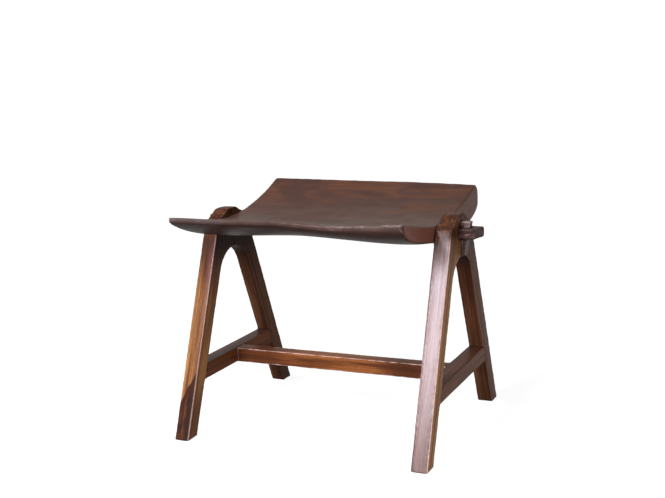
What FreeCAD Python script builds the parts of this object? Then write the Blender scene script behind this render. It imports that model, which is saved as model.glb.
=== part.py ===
import FreeCAD, Part
import os
import Sketcher

# A trestle stool: a dished seat between two A-shaped end frames, locked by tapered keys.
# X runs along the seat, Y from the front lip to the back lip, Z up. The origin lies on the
# floor under the middle of the stool. Sizes are in millimetres.

SIZES = (
    ("frame_half_length", 281, "middle of the stool to the outer face of an end frame"),
    ("left_frame_thickness", 34, "thickness of the left legs and rail, along X"),
    ("right_frame_thickness", 35.5, "thickness of the right legs and rail, along X"),
    ("foot_half_spread", 238, "middle to the outer toe of a foot, along Y"),
    ("foot_depth", 38, "depth of a foot on the floor, along Y"),
    ("shoulder_half_spread", 64, "middle to the corner where the leg turns to the apex slope"),
    ("shoulder_drop", 24, "how far that corner lies below the flat on top of the frame"),
    ("apex_flat_half", 18, "half the depth of that flat"),
    ("apex_round", 8, "rounding of the two corners of the flat and of the shoulders"),
    ("arch_spring_half", 62, "half the opening where the arch leaves the straight legs"),
    ("arch_rise", 41.5, "height from there to the crown of the arch"),
    ("arch_cover", 37, "wood between the crown of the arch and the seat's tenon"),
    ("apex_cover", 28, "wood between the seat's tenon and the flat on top of the frame"),
    ("edge_ease", 1.5, "rounding of the long edges of legs, rails and keys"),
    ("cross_rail_bottom", 110.5, "height of the underside of a cross rail"),
    ("cross_rail_height", 34, "height of a cross rail"),
    ("long_rail_bottom", 110, "height of the underside of the long rail"),
    ("long_rail_height", 33, "height of the long rail"),
    ("long_rail_width", 33, "width of the long rail, along Y"),
    ("rail_tenon_thickness", 12, "thickness of the blind tenons on the rails"),
    ("rail_tenon_shoulder", 5, "shoulder above and below those tenons"),
    ("cross_tenon_depth", 22, "depth of a cross rail's tenon in its leg"),
    ("long_tenon_depth", 20, "depth of the long rail's tenon in a cross rail"),
    ("blind_gap", 1, "air at the bottom of a blind mortise or dowel hole"),
    ("dowel_diameter", 8, "dowels that hold two legs together at the apex"),
    ("dowel_length", 50, "length of a dowel, half of it in each leg"),
    ("dowel_spacing", 16, "distance between the two lower dowels"),
    ("seat_height", 442, "height of the lowest line of the dished top"),
    ("seat_thickness", 42, "from that line down to the lowest line of the underside"),
    ("seat_half_depth", 237, "middle of the seat to its front lip or back edge"),
    ("seat_corner_radius", 8, "rounding of the seat's corners, seen from above"),
    ("horn_overhang", 14, "how far the left front corner reaches past the frame's inner face"),
    ("horn_start", 100, "middle of the seat to where that corner starts to flare out"),
    ("front_lip_rise", 30.5, "height of the front lip over the dish"),
    ("front_lip_face", 9, "height of the narrow face of the front lip"),
    ("front_lip_round", 4, "rounding of the top edge of that face"),
    ("back_lip_rise", 54, "height of the crest of the back lip over the dish"),
    ("hewing_depth", 10, "measure of how far the hewn seat strays from a true surface"),
    ("seat_tenon_width", 45, "width of the seat's through tenons, along Y"),
    ("seat_tenon_height", 22, "thickness of those tenons"),
    ("seat_tenon_lift", 10, "height of their underside over the seat's underside"),
    ("seat_tenon_reach", 41, "how far their rear edge stands out of the frames"),
    ("seat_tenon_skew", 9, "how much less their front edge stands out, as they are sawn askew"),
    ("seat_tenon_round", 2, "rounding of the ends of those tenons"),
    ("key_thickness", 19, "thickness of a key, along Y"),
    ("key_tail", 35, "how far a key hangs out below its tenon"),
    ("key_height", 70, "length of a key"),
    ("key_top_width", 21, "width of a key at its upper end"),
    ("key_bottom_width", 8, "width of a key at its lower end"),
    ("key_mortise_recess", 4, "how far a key's mortise reaches inside the frame's outer face"),
    ("fit_clearance", 0.3, "clearance round the seat's tenons and the keys"),
    ("cut_overrun", 20, "how far a cut runs past the wood it cuts"),
)

# Heights that follow from the height of the seat.
FRONT_LIP = "(Sizes.seat_height + Sizes.front_lip_rise)"
BACK_LIP = "(Sizes.seat_height + Sizes.back_lip_rise)"
BELLY = "(Sizes.seat_height - Sizes.seat_thickness)"
TENON_BOTTOM = f"({BELLY} + Sizes.seat_tenon_lift)"
TENON_TOP = f"({TENON_BOTTOM} + Sizes.seat_tenon_height)"
APEX = f"({TENON_TOP} + Sizes.apex_cover)"
SHOULDER = f"({APEX} - Sizes.shoulder_drop)"
CROWN = f"({TENON_BOTTOM} - Sizes.arch_cover)"
SPRING = f"({CROWN} - Sizes.arch_rise)"
KEY_BOTTOM = f"({TENON_BOTTOM} - Sizes.key_tail)"
KEY_TOP = f"({KEY_BOTTOM} + Sizes.key_height)"
ABOVE_SEAT = f"({BACK_LIP} + Sizes.cut_overrun)"

# How far the hewn lips and underside lie above their nominal heights at the seat's sections,
# evenly spaced from the left end to the right, as shares of hewing_depth.
FRONT_LIP_SHARES = (0.1, -0.05, 0.05, 0.1, -0.4, -0.25, 0.13)
BACK_LIP_SHARES = (0.58, 0.48, 0.32, 0.17, 0.06, -0.15, -0.42)
BELLY_SHARES = (0.2, 0.25, 0.65, 1.0, 0.85, 0.1, 0.17)

# Where the control point under the front lip lies at each section, as a share of the seat's
# half depth. The nearer the lip, the fuller the underside.
FULLNESS_SHARES = (-0.82, -0.83, -0.86, -0.89, -0.92, -0.95, -0.97)

# Control points of a section: first the place, as a share of the seat's half depth, then the
# height, as a share of the rise from the lowest line to the lip on that side.
TOP_SHARES = ((-0.79, 0.81), (-0.33, -0.16), (0.25, 0.05), (0.73, 0.68), (0.867, 0.95))
BACK_SHARES = ((0.967, 1.06), (1.075, 0.525), (0.904, 0.31))
UNDER_SHARES = ((0.71, 0.085), (0.25, -0.065), (-0.25, 0.075))
UNDER_LIP_SHARE = 0.51

LEFT = -1
RIGHT = 1
FRONT = -1
REAR = 1
SIDE_NAMES = {LEFT: "left", RIGHT: "right"}
LEG_NAMES = {FRONT: "front", REAR: "rear"}
CURVE_DEGREE = 3
TOUCH = 1e-6
LEAST_CUT_SHARE = 1e-5

doc = FreeCAD.newDocument("TrestleStool")
sheet = doc.addObject("Spreadsheet::Sheet", "Sizes")
subparts = []


def fill_sheet():
    """Give every driving dimension its own named cell."""
    for row, (name, value, note) in enumerate(SIZES, start=1):
        sheet.set(f"A{row}", name)
        sheet.set(f"B{row}", str(value))
        sheet.setAlias(f"B{row}", name)
        sheet.set(f"C{row}", note)
    doc.recompute()


def size(expression):
    """Value of an expression of named sizes."""
    return float(sheet.evalExpression(expression))


def cell(name):
    return f"Sizes.{name}"


def bind(item, path, expression):
    """Tie one property of an object to an expression of named sizes."""
    item.setExpression(path, expression)


def new_body(label):
    body = doc.addObject("PartDesign::Body", label)
    body.Label = label
    subparts.append(body)
    return body


def new_sketch(body, name, role, offset="0"):
    """Sketch on one of the body's origin planes, moved along the plane's normal."""
    sketch = body.newObject("Sketcher::SketchObject", name)
    plane = next(item for item in body.Origin.OriginFeatures if item.Role == role)
    sketch.AttachmentSupport = [(plane, "")]
    sketch.MapMode = "FlatFace"
    if offset != "0":
        bind(sketch, ".AttachmentOffset.Base.z", offset)
    return sketch


def fix_point(sketch, geometry, position, point):
    """Dimension one point of a sketch from its origin."""
    axes = (("DistanceX", -2), ("DistanceY", -1))
    for (kind, axis), expression in zip(axes, point):
        value = size(expression)
        if abs(value) < TOUCH:
            sketch.addConstraint(Sketcher.Constraint("PointOnObject", geometry, position, axis))
            continue
        index = sketch.addConstraint(
            Sketcher.Constraint(kind, -1, 1, geometry, position, value))
        bind(sketch, f"Constraints[{index}]", expression)


def vector(point):
    return FreeCAD.Vector(size(point[0]), size(point[1]), 0)


def draw_line(sketch, start, end):
    line = sketch.addGeometry(Part.LineSegment(vector(start), vector(end)), False)
    fix_point(sketch, line, 1, start)
    return line


def draw_arc(sketch, start, end, centre, radius):
    """Arc from start to end, the short way round its centre."""
    first = vector(start)
    last = vector(end)
    outward = (first + last) * 0.5 - vector(centre)
    outward.normalize()
    crown = vector(centre) + outward * size(radius)
    arc = sketch.addGeometry(Part.Arc(first, crown, last), False)
    forward = sketch.getPoint(arc, 1).distanceToPoint(first) < TOUCH
    ends = (1, 2) if forward else (2, 1)
    fix_point(sketch, arc, ends[0], start)
    index = sketch.addConstraint(Sketcher.Constraint("Radius", arc, size(radius)))
    bind(sketch, f"Constraints[{index}]", radius)
    return arc, ends


def draw_curve(sketch, points):
    """Smooth curve over control points, all dimensioned but the last, which the next edge holds."""
    curve = Part.BSplineCurve()
    curve.buildFromPoles([vector(point) for point in points], False, CURVE_DEGREE)
    spline = sketch.addGeometry(curve, False)
    first_pole = sketch.GeometryCount
    sketch.exposeInternalGeometry(spline)
    for number, point in enumerate(points[:-1]):
        fix_point(sketch, first_pole + number, 3, point)
    return spline


def join_ends(sketch, chain):
    """Close a chain of edges, each given as its number and its two end positions."""
    for number, (edge, ends) in enumerate(chain):
        following, next_ends = chain[(number + 1) % len(chain)]
        sketch.addConstraint(
            Sketcher.Constraint("Coincident", edge, ends[1], following, next_ends[0]))


def draw_polygon(sketch, points):
    chain = []
    for number, point in enumerate(points):
        following = points[(number + 1) % len(points)]
        chain.append((draw_line(sketch, point, following), (1, 2)))
    join_ends(sketch, chain)


def draw_rectangle(sketch, low, high):
    """Rectangle from its lowest to its highest corner."""
    draw_polygon(sketch, [low, (high[0], low[1]), high, (low[0], high[1])])


def draw_circle(sketch, centre, diameter):
    circle = sketch.addGeometry(
        Part.Circle(vector(centre), FreeCAD.Vector(0, 0, 1), size(diameter) / 2), False)
    fix_point(sketch, circle, 3, centre)
    index = sketch.addConstraint(Sketcher.Constraint("Diameter", circle, size(diameter)))
    bind(sketch, f"Constraints[{index}]", diameter)


def pad(body, name, sketch, length, reverse=False, both_ways=False):
    feature = body.newObject("PartDesign::Pad", name)
    feature.Profile = sketch
    bind(feature, "Length", length)
    feature.Reversed = reverse
    feature.Midplane = both_ways
    doc.recompute()
    return feature


def pocket(body, name, sketch, length, reverse=False, both_ways=False):
    """Cut a sketch out of the body; a cut that takes nothing away is an error."""
    before = body.Shape.Volume
    feature = body.newObject("PartDesign::Pocket", name)
    feature.Profile = sketch
    bind(feature, "Length", length)
    feature.Reversed = reverse
    feature.Midplane = both_ways
    doc.recompute()
    if body.Shape.Volume > before * (1 - LEAST_CUT_SHARE):
        raise RuntimeError(f"{name} cuts nothing out of {body.Label}")
    return feature


def round_edges(body, name, base, wanted, radius):
    """Round the edges of a feature that the test picks out."""
    edges = [f"Edge{number}" for number, edge in enumerate(base.Shape.Edges, start=1)
             if wanted(edge)]
    if not edges:
        raise RuntimeError(f"{name} finds no edge on {body.Label}")
    feature = body.newObject("PartDesign::Fillet", name)
    feature.Base = (base, edges)
    bind(feature, "Radius", radius)
    doc.recompute()
    return feature


def low_face(side):
    """Lower X of an end frame: the outer face on the left, the inner face on the right."""
    if side == LEFT:
        return "-Sizes.frame_half_length"
    return inner_face(RIGHT)


def thickness(side):
    return cell(SIDE_NAMES[side] + "_frame_thickness")


def inner_face(side):
    return f"{side} * (Sizes.frame_half_length - {thickness(side)})"


def frame_middle(side):
    return f"{side} * (Sizes.frame_half_length - {thickness(side)} / 2)"


def leg_inside(height):
    """Half the gap between the straight legs of a frame at a height."""
    foot_inside = "(Sizes.foot_half_spread - Sizes.foot_depth)"
    closing = f"({foot_inside} - Sizes.arch_spring_half) / {SPRING}"
    return f"({foot_inside} - {closing} * ({height}))"


def cross_tenon_corners(side):
    """Section of a cross rail's tenon: lowest and highest corner in X and Z."""
    half = "Sizes.rail_tenon_thickness / 2"
    low = "Sizes.cross_rail_bottom + Sizes.rail_tenon_shoulder"
    high = "Sizes.cross_rail_bottom + Sizes.cross_rail_height - Sizes.rail_tenon_shoulder"
    return ((f"{frame_middle(side)} - {half}", low), (f"{frame_middle(side)} + {half}", high))


def cross_tenon_reach():
    """Middle of the stool to the end of a cross rail's tenon."""
    middle_height = "Sizes.cross_rail_bottom + Sizes.cross_rail_height / 2"
    return f"{leg_inside(middle_height)} + Sizes.cross_tenon_depth"


def dowel_places(side):
    """Places of the three apex dowels of a frame, by name, in X and Z."""
    middle = frame_middle(side)
    aside = f"{side} * Sizes.dowel_spacing / 2"
    lower = f"{CROWN} + Sizes.arch_cover / 2"
    upper = f"{TENON_TOP} + Sizes.apex_cover / 2"
    return (
        ("outer", f"{middle} + {aside}", lower),
        ("inner", f"{middle} - {aside}", lower),
        ("top", middle, upper),
    )


def draw_leg_outline(sketch, end):
    """Side view of a leg: foot, straight inside, half arch, apex, shoulder, straight outside."""
    radius = "(Sizes.arch_spring_half ^ 2 + Sizes.arch_rise ^ 2) / (2 * Sizes.arch_rise)"
    spring = (f"{end} * Sizes.arch_spring_half", SPRING)
    crown = ("0", CROWN)
    centre = ("0", f"{CROWN} - {radius}")
    toe = (f"{end} * Sizes.foot_half_spread", "0")
    heel = (f"{end} * (Sizes.foot_half_spread - Sizes.foot_depth)", "0")
    apex = ("0", APEX)
    flat = (f"{end} * Sizes.apex_flat_half", APEX)
    shoulder = (f"{end} * Sizes.shoulder_half_spread", SHOULDER)
    chain = [
        (draw_line(sketch, toe, heel), (1, 2)),
        (draw_line(sketch, heel, spring), (1, 2)),
        draw_arc(sketch, spring, crown, centre, radius),
        (draw_line(sketch, crown, apex), (1, 2)),
        (draw_line(sketch, apex, flat), (1, 2)),
        (draw_line(sketch, flat, shoulder), (1, 2)),
        (draw_line(sketch, shoulder, toe), (1, 2)),
    ]
    join_ends(sketch, chain)


def make_leg(side, end):
    """One leg of an end frame, with its half of the apex and of the seat tenon's mortise."""
    body = new_body(f"{LEG_NAMES[end]}_{SIDE_NAMES[side]}_leg")
    outline = new_sketch(body, body.Label + "_outline", "YZ_Plane", low_face(side))
    draw_leg_outline(outline, end)
    board = pad(body, body.Label + "_board", outline, thickness(side))
    shoulder_level = size(SHOULDER)

    def across(edge):
        return edge.BoundBox.XLength > TOUCH

    def shoulder_corner(edge):
        box = edge.BoundBox
        off_centre = abs(box.Center.y) > TOUCH
        return across(edge) and off_centre and box.ZMin > shoulder_level - TOUCH

    def long_edge(edge):
        box = edge.BoundBox
        on_joint = abs(box.YMin) < TOUCH and abs(box.YMax) < TOUCH
        on_floor = box.ZMax < TOUCH
        return not on_joint and (on_floor or not across(edge))

    rounded = round_edges(body, body.Label + "_shoulders", board, shoulder_corner,
                          "Sizes.apex_round")
    round_edges(body, body.Label + "_edges", rounded, long_edge, "Sizes.edge_ease")

    mortise = new_sketch(body, body.Label + "_seat_mortise", "YZ_Plane", low_face(side))
    half = f"{end} * (Sizes.seat_tenon_width / 2 + Sizes.fit_clearance)"
    bottom = f"{TENON_BOTTOM} - Sizes.fit_clearance"
    top = f"{TENON_TOP} + Sizes.fit_clearance"
    draw_rectangle(mortise, ("0", bottom), (half, top))
    pocket(body, body.Label + "_seat_mortise_cut", mortise, thickness(side), reverse=True)

    towards_leg = end == FRONT
    rail_mortise = new_sketch(body, body.Label + "_rail_mortise", "XZ_Plane")
    draw_rectangle(rail_mortise, *cross_tenon_corners(side))
    pocket(body, body.Label + "_rail_mortise_cut", rail_mortise,
           f"{cross_tenon_reach()} + Sizes.blind_gap", reverse=towards_leg)

    holes = new_sketch(body, body.Label + "_dowel_holes", "XZ_Plane")
    for _, place_x, place_z in dowel_places(side):
        draw_circle(holes, (place_x, place_z), "Sizes.dowel_diameter")
    pocket(body, body.Label + "_dowel_holes_cut", holes,
           "Sizes.dowel_length / 2 + Sizes.blind_gap", reverse=towards_leg)


def make_cross_rail(side):
    """Rail between the two legs of a frame, flush with their faces, with blind tenons."""
    body = new_body(f"{SIDE_NAMES[side]}_cross_rail")
    bottom = "Sizes.cross_rail_bottom"
    top = "Sizes.cross_rail_bottom + Sizes.cross_rail_height"
    outline = new_sketch(body, body.Label + "_outline", "YZ_Plane", low_face(side))
    draw_polygon(outline, [
        (f"-{leg_inside(bottom)}", bottom),
        (leg_inside(bottom), bottom),
        (leg_inside(top), top),
        (f"-{leg_inside(top)}", top),
    ])
    bar = pad(body, body.Label + "_bar", outline, thickness(side))
    half_gap = size(leg_inside(top))

    def long_edge(edge):
        return edge.BoundBox.YLength > half_gap

    round_edges(body, body.Label + "_edges", bar, long_edge, "Sizes.edge_ease")

    tenon = new_sketch(body, body.Label + "_tenon", "XZ_Plane")
    draw_rectangle(tenon, *cross_tenon_corners(side))
    pad(body, body.Label + "_tenons", tenon, f"2 * ({cross_tenon_reach()})", both_ways=True)

    mortise = new_sketch(body, body.Label + "_mortise", "YZ_Plane", inner_face(side))
    draw_rectangle(mortise, *long_tenon_corners())
    pocket(body, body.Label + "_mortise_cut", mortise,
           "Sizes.long_tenon_depth + Sizes.blind_gap", reverse=side == RIGHT)


def long_tenon_corners():
    """Section of the long rail's tenon: lowest and highest corner in Y and Z."""
    half = "Sizes.rail_tenon_thickness / 2"
    low = "Sizes.long_rail_bottom + Sizes.rail_tenon_shoulder"
    high = "Sizes.long_rail_bottom + Sizes.long_rail_height - Sizes.rail_tenon_shoulder"
    return (f"-{half}", low), (half, high)


def make_long_rail():
    """Rail between the two cross rails, with a blind tenon at each end."""
    body = new_body("long_rail")
    half = "Sizes.long_rail_width / 2"
    bottom = "Sizes.long_rail_bottom"
    top = "Sizes.long_rail_bottom + Sizes.long_rail_height"
    span = f"({inner_face(RIGHT)} - ({inner_face(LEFT)}))"
    section = new_sketch(body, "long_rail_section", "YZ_Plane", inner_face(LEFT))
    draw_rectangle(section, (f"-{half}", bottom), (half, top))
    bar = pad(body, "long_rail_bar", section, span)
    half_span = size(span) / 2

    def long_edge(edge):
        return edge.BoundBox.XLength > half_span

    round_edges(body, "long_rail_edges", bar, long_edge, "Sizes.edge_ease")
    start = f"{inner_face(LEFT)} - Sizes.long_tenon_depth"
    tenon = new_sketch(body, "long_rail_tenon", "YZ_Plane", start)
    draw_rectangle(tenon, *long_tenon_corners())
    pad(body, "long_rail_tenons", tenon, f"{span} + 2 * Sizes.long_tenon_depth")


def seat_point(place, height_share, lowest, lip):
    """Control point of a seat section, from shares of its half depth and of its rise."""
    return (f"Sizes.seat_half_depth * {place}", f"{lowest} + ({lip} - ({lowest})) * {height_share}")


def draw_seat_section(sketch, station):
    """Closed section of the seat: dished top, thick back edge, underside, thin front lip."""
    front = f"({FRONT_LIP} + Sizes.hewing_depth * {FRONT_LIP_SHARES[station]})"
    back = f"({BACK_LIP} + Sizes.hewing_depth * {BACK_LIP_SHARES[station]})"
    belly = f"({BELLY} + Sizes.hewing_depth * {BELLY_SHARES[station]})"
    trough = "Sizes.seat_height"
    face = "-Sizes.seat_half_depth"
    lip_top = (f"{face} + Sizes.front_lip_round", front)
    lip_shoulder = (face, f"{front} - Sizes.front_lip_round")
    lip_foot = (face, f"{front} - Sizes.front_lip_face")

    top_points = [lip_top]
    for place, share in TOP_SHARES:
        lip = front if place < 0 else back
        top_points.append(seat_point(place, share, trough, lip))
    back_points = [top_points[-1]]
    for place, share in BACK_SHARES:
        back_points.append(seat_point(place, share, belly, back))
    under_points = [back_points[-1]]
    for place, share in (*UNDER_SHARES, (FULLNESS_SHARES[station], UNDER_LIP_SHARE)):
        lip = lip_foot[1] if place < 0 else back
        under_points.append(seat_point(place, share, belly, lip))
    under_points.append(lip_foot)

    chain = [
        (draw_curve(sketch, top_points), (1, 2)),
        (draw_curve(sketch, back_points), (1, 2)),
        (draw_curve(sketch, under_points), (1, 2)),
        (draw_line(sketch, lip_foot, lip_shoulder), (1, 2)),
        draw_arc(sketch, lip_shoulder, lip_top,
                 (lip_top[0], lip_shoulder[1]), "Sizes.front_lip_round"),
    ]
    join_ends(sketch, chain)


def seat_end(side, end):
    """Where the seat's front or rear corner ends along X."""
    if (side, end) == (LEFT, FRONT):
        return f"({inner_face(LEFT)} - Sizes.horn_overhang)"
    return inner_face(side)


def draw_corner(sketch, side, end):
    """Waste outside one rounded corner of the seat, seen from above."""
    radius = "Sizes.seat_corner_radius"
    over = "Sizes.cut_overrun"
    edge_x = seat_end(side, end)
    edge_y = f"{end} * Sizes.seat_half_depth"
    start_x = f"{edge_x} - ({side}) * {radius}"
    start_y = f"{edge_y} - ({end}) * {radius}"
    far_x = f"{edge_x} + ({side}) * {over}"
    far_y = f"{edge_y} + ({end}) * {over}"
    chain = [
        draw_arc(sketch, (start_x, edge_y), (edge_x, start_y), (start_x, start_y), radius),
        (draw_line(sketch, (edge_x, start_y), (far_x, start_y)), (1, 2)),
        (draw_line(sketch, (far_x, start_y), (far_x, far_y)), (1, 2)),
        (draw_line(sketch, (far_x, far_y), (start_x, far_y)), (1, 2)),
        (draw_line(sketch, (start_x, far_y), (start_x, edge_y)), (1, 2)),
    ]
    join_ends(sketch, chain)


def draw_flare_waste(sketch):
    """Waste beside the seat's left end, which leaves the horn at its front corner."""
    horn_x = seat_end(LEFT, FRONT)
    far_x = f"{horn_x} - Sizes.cut_overrun"
    horn_y = "-(Sizes.seat_half_depth - Sizes.seat_corner_radius)"
    far_y = "Sizes.seat_half_depth + Sizes.cut_overrun"
    draw_polygon(sketch, [
        (inner_face(LEFT), "-Sizes.horn_start"),
        (inner_face(LEFT), far_y),
        (far_x, far_y),
        (far_x, horn_y),
        (horn_x, horn_y),
    ])


def draw_skew_waste(sketch, side):
    """Waste beyond the askew end of a seat tenon, seen from above."""
    rear_x = f"{side} * (Sizes.frame_half_length + Sizes.seat_tenon_reach)"
    front_x = f"{rear_x} - ({side}) * Sizes.seat_tenon_skew"
    far_x = f"{rear_x} + ({side}) * Sizes.cut_overrun"
    rear_y = "Sizes.seat_tenon_width / 2"
    front_y = "-Sizes.seat_tenon_width / 2"
    far_y = f"{front_y} - Sizes.cut_overrun"
    draw_polygon(sketch, [
        (front_x, front_y),
        (rear_x, rear_y),
        (far_x, rear_y),
        (far_x, far_y),
        (front_x, far_y),
    ])


def key_outline(side, recess, clearance):
    """Side view of a key, or of its mortise when a recess and a clearance are given."""
    inside = f"{side} * (Sizes.frame_half_length + Sizes.fit_clearance - ({recess}))"
    reach = f"Sizes.frame_half_length + Sizes.fit_clearance + ({clearance})"
    return [
        (inside, KEY_BOTTOM),
        (f"{side} * ({reach} + Sizes.key_bottom_width)", KEY_BOTTOM),
        (f"{side} * ({reach} + Sizes.key_top_width)", KEY_TOP),
        (inside, KEY_TOP),
    ]


def make_seat():
    """Dished seat with a through tenon at each end, each with a mortise for its key."""
    body = new_body("seat")
    sections = []
    last_station = len(BELLY_SHARES) - 1
    start = seat_end(LEFT, FRONT)
    length = f"({inner_face(RIGHT)} - ({start}))"
    for station in range(last_station + 1):
        place = f"{start} + {length} * {station} / {last_station}"
        section = new_sketch(body, f"seat_section_{station + 1}", "YZ_Plane", place)
        draw_seat_section(section, station)
        sections.append(section)
    doc.recompute()
    plank = body.newObject("PartDesign::AdditiveLoft", "seat_plank")
    plank.Profile = sections[0]
    plank.Sections = sections[1:]
    doc.recompute()

    flare = new_sketch(body, "seat_flare", "XY_Plane")
    draw_flare_waste(flare)
    pocket(body, "seat_flare_cut", flare, ABOVE_SEAT, reverse=True)
    corners = new_sketch(body, "seat_corners", "XY_Plane")
    for side in (LEFT, RIGHT):
        for end in (FRONT, REAR):
            draw_corner(corners, side, end)
    pocket(body, "seat_corners_cut", corners, ABOVE_SEAT, reverse=True)

    half = "Sizes.seat_tenon_width / 2"
    for side in (LEFT, RIGHT):
        name = SIDE_NAMES[side]
        section = new_sketch(body, f"{name}_tenon_section", "YZ_Plane", inner_face(side))
        draw_rectangle(section, (f"-{half}", TENON_BOTTOM), (half, TENON_TOP))
        pad(body, f"{name}_tenon", section,
            f"{thickness(side)} + Sizes.seat_tenon_reach", reverse=side == LEFT)
        skew = new_sketch(body, f"{name}_tenon_skew", "XY_Plane")
        draw_skew_waste(skew, side)
        tenon = pocket(body, f"{name}_tenon_skew_cut", skew, ABOVE_SEAT, reverse=True)
        end_level = size("Sizes.frame_half_length + Sizes.seat_tenon_reach"
                         " - Sizes.seat_tenon_skew")

        def end_edge(edge):
            box = edge.BoundBox
            return min(abs(box.XMin), abs(box.XMax)) > end_level - TOUCH and box.XMin * side > 0

        round_edges(body, f"{name}_tenon_end", tenon, end_edge, "Sizes.seat_tenon_round")
        mortise = new_sketch(body, f"{name}_key_mortise", "XZ_Plane")
        draw_polygon(mortise, key_outline(side, "Sizes.key_mortise_recess",
                                          "Sizes.fit_clearance"))
        pocket(body, f"{name}_key_mortise_cut", mortise,
               "Sizes.key_thickness + 2 * Sizes.fit_clearance", both_ways=True)


def make_key(side):
    """Tapered key that drops through a tenon and bears on the frame's outer face."""
    body = new_body(f"{SIDE_NAMES[side]}_key")
    outline = new_sketch(body, body.Label + "_outline", "XZ_Plane")
    draw_polygon(outline, key_outline(side, "0", "0"))
    wedge = pad(body, body.Label + "_wedge", outline, "Sizes.key_thickness", both_ways=True)
    round_edges(body, body.Label + "_edges", wedge, lambda edge: True, "Sizes.edge_ease")


def make_dowel(side, name, place_x, place_z):
    """Round dowel across the joint between the two legs of a frame."""
    dowel = doc.addObject("Part::Cylinder", f"{SIDE_NAMES[side]}_apex_dowel_{name}")
    dowel.Label = dowel.Name
    bind(dowel, "Radius", "Sizes.dowel_diameter / 2")
    bind(dowel, "Height", "Sizes.dowel_length")
    along_y = FreeCAD.Rotation(FreeCAD.Vector(1, 0, 0), -90)
    dowel.Placement = FreeCAD.Placement(FreeCAD.Vector(0, 0, 0), along_y)
    bind(dowel, "Placement.Base.x", place_x)
    bind(dowel, "Placement.Base.y", "-Sizes.dowel_length / 2")
    bind(dowel, "Placement.Base.z", place_z)
    subparts.append(dowel)


def check_model():
    """Stop if any object failed or any sub-part isn't one valid solid."""
    doc.recompute()
    for item in doc.Objects:
        if "Invalid" in item.State or "Error" in item.State:
            raise RuntimeError(f"{item.Label} failed: {item.State}")
    for item in subparts:
        shape = item.Shape
        if shape.isNull() or not shape.isValid() or len(shape.Solids) != 1:
            raise RuntimeError(f"{item.Label} isn't one valid solid")


def write_parts():
    os.makedirs("parts", exist_ok=True)
    for item in subparts:
        item.Shape.exportStep(f"parts/{item.Label}.step")
        box = item.Shape.BoundBox
        print(f"{item.Label:28s} {item.Shape.Volume / 1000:9.1f} cm3"
              f"  X {box.XMin:7.1f} {box.XMax:7.1f}  Y {box.YMin:7.1f} {box.YMax:7.1f}"
              f"  Z {box.ZMin:6.1f} {box.ZMax:6.1f}")


fill_sheet()
make_seat()
for frame_side in (LEFT, RIGHT):
    for leg_end in (FRONT, REAR):
        make_leg(frame_side, leg_end)
    make_cross_rail(frame_side)
    make_key(frame_side)
    for dowel in dowel_places(frame_side):
        make_dowel(frame_side, *dowel)
make_long_rail()
check_model()
write_parts()
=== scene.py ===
"""Trestle stool of dark stained hardwood: worn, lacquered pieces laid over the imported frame."""

import math

import bmesh
import bpy
from bpy.props import FloatProperty, FloatVectorProperty, IntProperty, PointerProperty
from bpy.types import Operator, Panel, PropertyGroup
from mathutils import Matrix, Vector
from mathutils.bvhtree import BVHTree
from mathutils.kdtree import KDTree


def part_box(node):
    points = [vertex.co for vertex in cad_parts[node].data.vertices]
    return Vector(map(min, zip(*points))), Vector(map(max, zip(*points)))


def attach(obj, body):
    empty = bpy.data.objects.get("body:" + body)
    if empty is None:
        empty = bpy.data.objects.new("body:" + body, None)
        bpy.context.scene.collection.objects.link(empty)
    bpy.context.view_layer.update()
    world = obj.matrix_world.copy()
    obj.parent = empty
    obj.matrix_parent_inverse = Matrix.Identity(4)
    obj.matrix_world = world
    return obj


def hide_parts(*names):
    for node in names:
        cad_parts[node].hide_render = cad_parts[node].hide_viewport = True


bl_info = {
    "name": "Trestle stool looks",
    "version": (1, 0, 0),
    "blender": (4, 5, 0),
    "location": "3D View > Sidebar > Stool",
    "description": "Dresses a joined trestle stool in worn, dark stained hardwood",
    "category": "Object",
}

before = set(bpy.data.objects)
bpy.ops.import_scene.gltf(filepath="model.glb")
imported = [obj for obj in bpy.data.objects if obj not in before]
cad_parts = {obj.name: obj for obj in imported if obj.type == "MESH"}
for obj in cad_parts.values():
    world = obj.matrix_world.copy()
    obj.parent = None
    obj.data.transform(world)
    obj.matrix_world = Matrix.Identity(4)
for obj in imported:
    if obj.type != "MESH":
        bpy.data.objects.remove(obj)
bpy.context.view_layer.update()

MILLIMETRE = 0.001
LEGS = ("front_left_leg", "rear_left_leg", "front_right_leg", "rear_right_leg")
CROSS_RAILS = ("left_cross_rail", "right_cross_rail")
LONG_RAIL = "long_rail"
KEYS = {"left_key": "left_key_body", "right_key": "right_key_body"}
DOWELS = tuple(name for name in sorted(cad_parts) if "dowel" in name)

# Places on the stool, taken from the frame, whose origin lies on the floor under its middle
MIDDLE = 0
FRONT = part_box("seat")[0].y
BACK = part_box("seat")[1].y
LIP_FACE = FRONT + 6 * MILLIMETRE
LEFT_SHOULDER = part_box("front_left_leg")[1].x
RIGHT_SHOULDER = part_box("front_right_leg")[0].x
FRAME_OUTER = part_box("front_right_leg")[1].x
LEG_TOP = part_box("front_left_leg")[1].z

# How much lacquer each side of a piece carries: much where hands and clothes polish it.
# Outside and inside are the sides that look away from the middle of the stool and towards it.
SEAT_POLISH = {"outside": 0.2, "inside": 0.0, "front": 0.07, "lip": 0.2, "back": 0.3, "top": 0.07}
RAIL_POLISH = {"outside": 0.15, "inside": 0.02, "front": 0.1, "back": 0.1, "top": 0.12}
KEY_POLISH = {"outside": 0.2, "inside": 0.2, "front": 0.45, "back": 0.2, "top": 0.3}
LEG_POLISH = {"outside": 0.05, "back": 0.15, "top": 0.08}

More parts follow.
